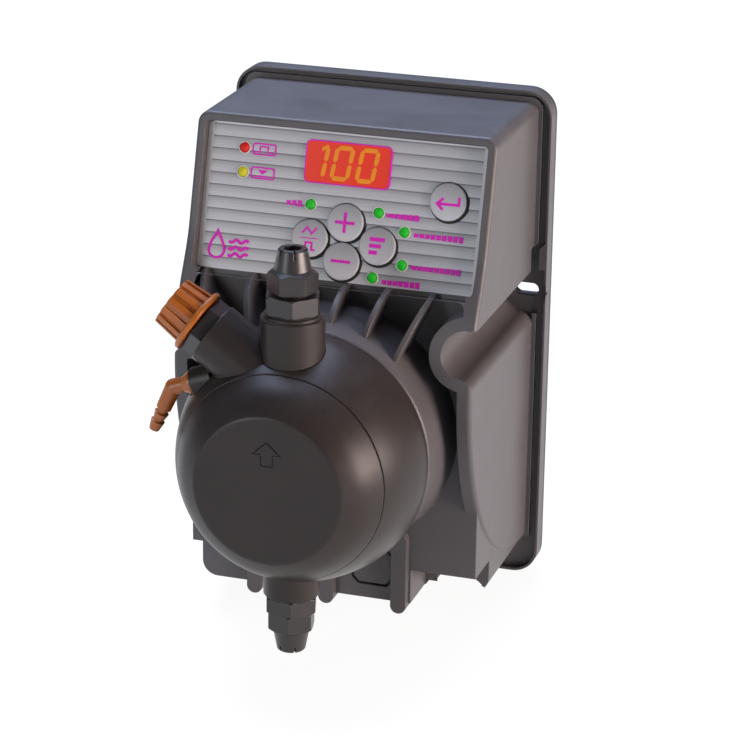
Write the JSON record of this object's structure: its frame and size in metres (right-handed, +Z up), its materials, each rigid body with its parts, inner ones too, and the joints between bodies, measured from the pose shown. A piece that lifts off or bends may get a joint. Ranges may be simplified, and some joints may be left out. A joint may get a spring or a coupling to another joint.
{
  "type": "diaphragm metering pump",
  "caption": "Wall-mounted solenoid diaphragm dosing pump with a sloped keypad panel, a domed liquid head, a bleed knob, a hose barb and tube nuts above and below.",
  "frame": {"origin": "centre of the flat wall face of the back plate", "axes": "+X to the right of someone facing the panel, -Y out from the wall to the front, +Z up"},
  "size_m": [0.125, 0.1467, 0.194],
  "materials": {
    "housing_plastic": "grained charcoal moulding",
    "back_plate_plastic": "smooth black moulding",
    "head_plastic": "dark brown-black filled polymer",
    "valve_plastic": "dark brown-black filled polymer",
    "nut_plastic": "black moulding",
    "knob_plastic": "orange-brown moulding",
    "panel_film": "silver-grey ribbed film",
    "window": "orange tinted display window",
    "button_rubber": "soft grey key",
    "lamp_red": "red lens",
    "lamp_yellow": "yellow lens",
    "lamp_green": "green lens",
    "board": "green circuit board",
    "inner_plastic": "plain moulding",
    "gland_plastic": "black polyamide",
    "seal_rubber": "soft black seal",
    "diaphragm_face": "white faced rubber",
    "steel": "turned steel",
    "copper_coil": "wound enamelled wire",
    "bush_brass": "turned brass",
    "ceramic": "polished ceramic"
  },
  "bodies": {
    "pump": {"housing_shell": "housing_plastic", "back_plate": "back_plate_plastic", "back_seals": "seal_rubber", "back_plate_screws": "steel", "control_panel": "panel_film", "display_window": "window", "display_module": "inner_plastic", "control_board": "board", "board_screws": "steel", "key_switches": "inner_plastic", "led_red": "lamp_red", "led_yellow": "lamp_yellow", "led_green": "lamp_green", "blanking_cover": "housing_plastic", "cable_gland": "gland_plastic", "signal_sockets": "gland_plastic", "solenoid_can": "steel", "coil_bobbin": "inner_plastic", "coil": "copper_coil", "fixed_core": "steel", "shaft_bush": "bush_brass", "backing_ring": "inner_plastic", "diaphragm": "diaphragm_face", "pump_head": "head_plastic", "head_cover": "head_plastic", "head_screws": "steel", "delivery_valve_body": "valve_plastic", "delivery_seat": "seal_rubber", "delivery_adapter": "nut_plastic", "delivery_seal": "seal_rubber", "suction_valve_body": "valve_plastic", "suction_seat": "seal_rubber", "suction_adapter": "nut_plastic", "suction_seal": "seal_rubber", "bleed_valve_body": "nut_plastic"},
    "enter_key": {"button_enter": "button_rubber"},
    "plus_key": {"button_plus": "button_rubber"},
    "signal_key": {"button_signal": "button_rubber"},
    "function_key": {"button_function": "button_rubber"},
    "minus_key": {"button_minus": "button_rubber"},
    "armature": {"plunger": "steel", "diaphragm_hub": "diaphragm_face", "return_spring": "steel"},
    "delivery_ball_body": {"delivery_ball": "ceramic"},
    "suction_ball_body": {"suction_ball": "ceramic"},
    "delivery_clamp": {"delivery_ferrule": "inner_plastic"},
    "delivery_nut": {"delivery_tube_nut": "nut_plastic"},
    "suction_clamp": {"suction_ferrule": "inner_plastic"},
    "suction_nut": {"suction_tube_nut": "nut_plastic"},
    "bleed_needle": {"bleed_stem": "steel"},
    "bleed_knob_body": {"bleed_knob": "knob_plastic"},
    "barb": {"hose_barb_elbow": "knob_plastic"}
  },
  "joints": [
    {"name": "enter_press", "type": "slide", "parent": "pump", "child": "enter_key", "axis": [0, 0.9617, -0.274], "range_m": [0, 0.0006], "stiffness_N_per_m": 800},
    {"name": "plus_press", "type": "slide", "parent": "pump", "child": "plus_key", "axis": [0, 0.9617, -0.274], "range_m": [0, 0.0006], "stiffness_N_per_m": 800},
    {"name": "signal_press", "type": "slide", "parent": "pump", "child": "signal_key", "axis": [0, 0.9617, -0.274], "range_m": [0, 0.0006], "stiffness_N_per_m": 800},
    {"name": "function_press", "type": "slide", "parent": "pump", "child": "function_key", "axis": [0, 0.9617, -0.274], "range_m": [0, 0.0006], "stiffness_N_per_m": 800},
    {"name": "minus_press", "type": "slide", "parent": "pump", "child": "minus_key", "axis": [0, 0.9617, -0.274], "range_m": [0, 0.0006], "stiffness_N_per_m": 800},
    {"name": "diaphragm_stroke", "type": "slide", "parent": "pump", "child": "armature", "axis": [0, -1, 0], "range_m": [0, 0.0012], "stiffness_N_per_m": 3000, "springref_m": -0.0005, "deforming": ["return_spring"]},
    {"name": "delivery_ball_lift", "type": "slide", "parent": "pump", "child": "delivery_ball_body", "axis": [0, 0, 1], "range_m": [0, 0.001]},
    {"name": "suction_ball_lift", "type": "slide", "parent": "pump", "child": "suction_ball_body", "axis": [0, 0, 1], "range_m": [0, 0.001]},
    {"name": "delivery_nut_travel", "type": "slide", "parent": "pump", "child": "delivery_clamp", "axis": [0, 0, 1], "range_m": [0, 0.0025]},
    {"name": "delivery_nut_turn", "type": "hinge", "parent": "delivery_clamp", "child": "delivery_nut", "pos_m": [0, -0.12, 0.0476], "axis": [0, 0, 1], "range_deg": [0, 600.01]},
    {"name": "suction_nut_travel", "type": "slide", "parent": "pump", "child": "suction_clamp", "axis": [0, 0, -1], "range_m": [0, 0.0025]},
    {"name": "suction_nut_turn", "type": "hinge", "parent": "suction_clamp", "child": "suction_nut", "pos_m": [0, -0.12, -0.0736], "axis": [0, 0, -1], "range_deg": [0, 600.01]},
    {"name": "bleed_needle_travel", "type": "slide", "parent": "pump", "child": "bleed_needle", "axis": [-0.829, 0, 0.5592], "range_m": [0, 0.00112]},
    {"name": "bleed_knob_turn", "type": "hinge", "parent": "bleed_needle", "child": "bleed_knob_body", "pos_m": [0, -0.12, 0.0083], "axis": [-0.829, 0, 0.5592], "range_deg": [0, 270.01]},
    {"name": "barb_swivel", "type": "hinge", "parent": "pump", "child": "barb", "pos_m": [-0.0363, -0.12, 0.0094], "axis": [-0.9397, 0, -0.342], "range_deg": [-60, 60]}
  ],
  "couplings": [
    {"joint": "delivery_nut_turn", "follows": "delivery_nut_travel", "rad_per_m": 4188.8},
    {"joint": "suction_nut_turn", "follows": "suction_nut_travel", "rad_per_m": 4188.8},
    {"joint": "bleed_knob_turn", "follows": "bleed_needle_travel", "rad_per_m": 4188.8}
  ]
}
